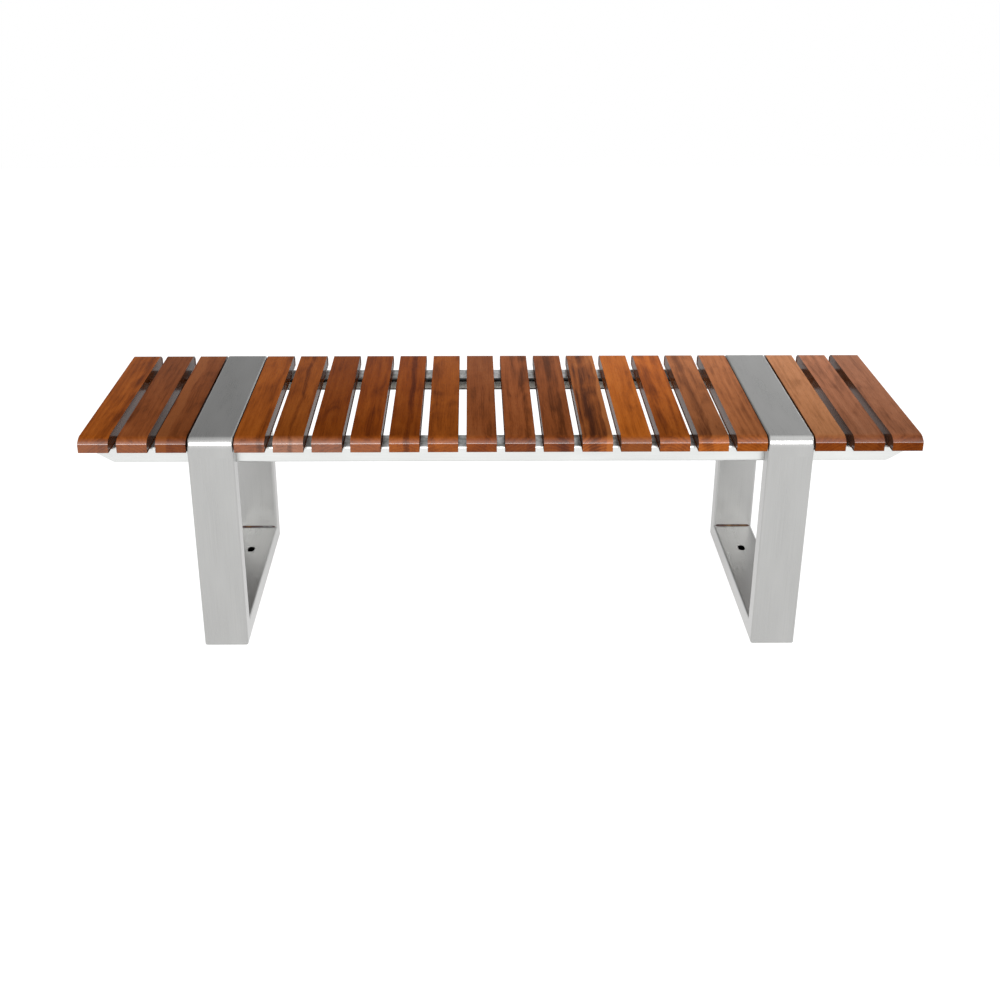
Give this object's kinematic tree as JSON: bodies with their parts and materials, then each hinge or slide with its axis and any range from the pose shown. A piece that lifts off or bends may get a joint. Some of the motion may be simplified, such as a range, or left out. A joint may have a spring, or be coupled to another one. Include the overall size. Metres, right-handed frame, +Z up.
{
  "type": "backless bench",
  "caption": "Backless street bench: timber slats running front to rear on channel rails, carried by two flush stainless hoop legs with ground anchor holes.",
  "frame": {"origin": "on the ground under the middle of the seat", "axes": "+X along the seat to the right hoop leg, +Y to the rear, +Z up"},
  "size_m": [1.6, 0.49, 0.45],
  "materials": {
    "timber": "clear-coated reddish-brown hardwood, satin to gloss",
    "leg_steel": "satin brushed stainless steel",
    "rail_steel": "satin stainless steel sheet, folded"
  },
  "bodies": {
    "root": {"slat_01": "timber", "slat_02": "timber", "slat_03": "timber", "slat_04": "timber", "slat_05": "timber", "slat_06": "timber", "slat_07": "timber", "slat_08": "timber", "slat_09": "timber", "slat_10": "timber", "slat_11": "timber", "slat_12": "timber", "slat_13": "timber", "slat_14": "timber", "slat_15": "timber", "slat_16": "timber", "slat_17": "timber", "slat_18": "timber", "slat_19": "timber", "slat_20": "timber", "left_seat_band": "leg_steel", "left_front_post": "leg_steel", "left_rear_post": "leg_steel", "left_foot": "leg_steel", "right_seat_band": "leg_steel", "right_front_post": "leg_steel", "right_rear_post": "leg_steel", "right_foot": "leg_steel", "front_rail_left": "rail_steel", "front_rail_centre": "rail_steel", "front_rail_right": "rail_steel", "rear_rail_left": "rail_steel", "rear_rail_centre": "rail_steel", "rear_rail_right": "rail_steel"}
  },
  "joints": []
}
